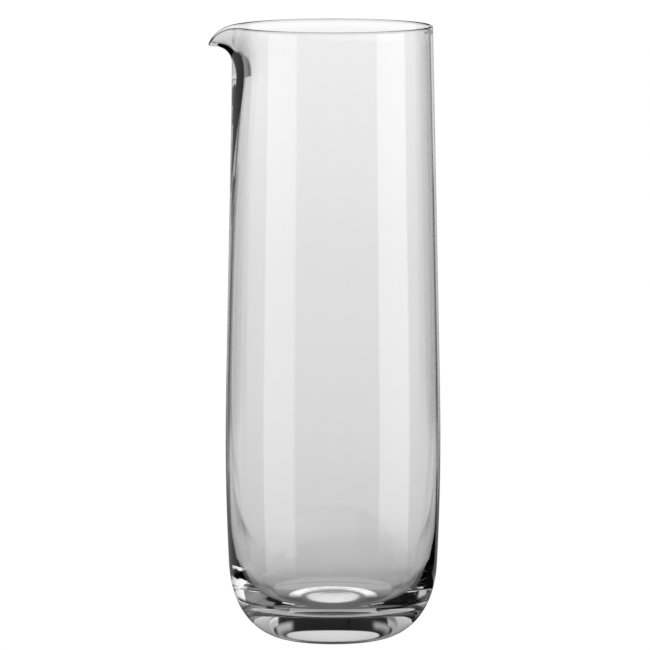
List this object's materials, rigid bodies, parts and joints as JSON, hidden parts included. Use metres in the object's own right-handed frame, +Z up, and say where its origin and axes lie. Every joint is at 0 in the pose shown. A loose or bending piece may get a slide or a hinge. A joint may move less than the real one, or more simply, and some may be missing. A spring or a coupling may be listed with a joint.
{
  "type": "jug",
  "caption": "Tall handleless jug in clear blown glass with a heavy rounded base, a thin barrelled wall and a pouring lip bent out of the rim.",
  "frame": {"origin": "centre of the flat foot, on the plane that the jug stands on", "axes": "+Z up along the axis of the jug, -X toward the pouring lip"},
  "size_m": [0.0979, 0.091, 0.26],
  "materials": {
    "clear_glass": "clear, fire-polished"
  },
  "bodies": {
    "root": {"jug_body": "clear_glass"}
  },
  "joints": []
}
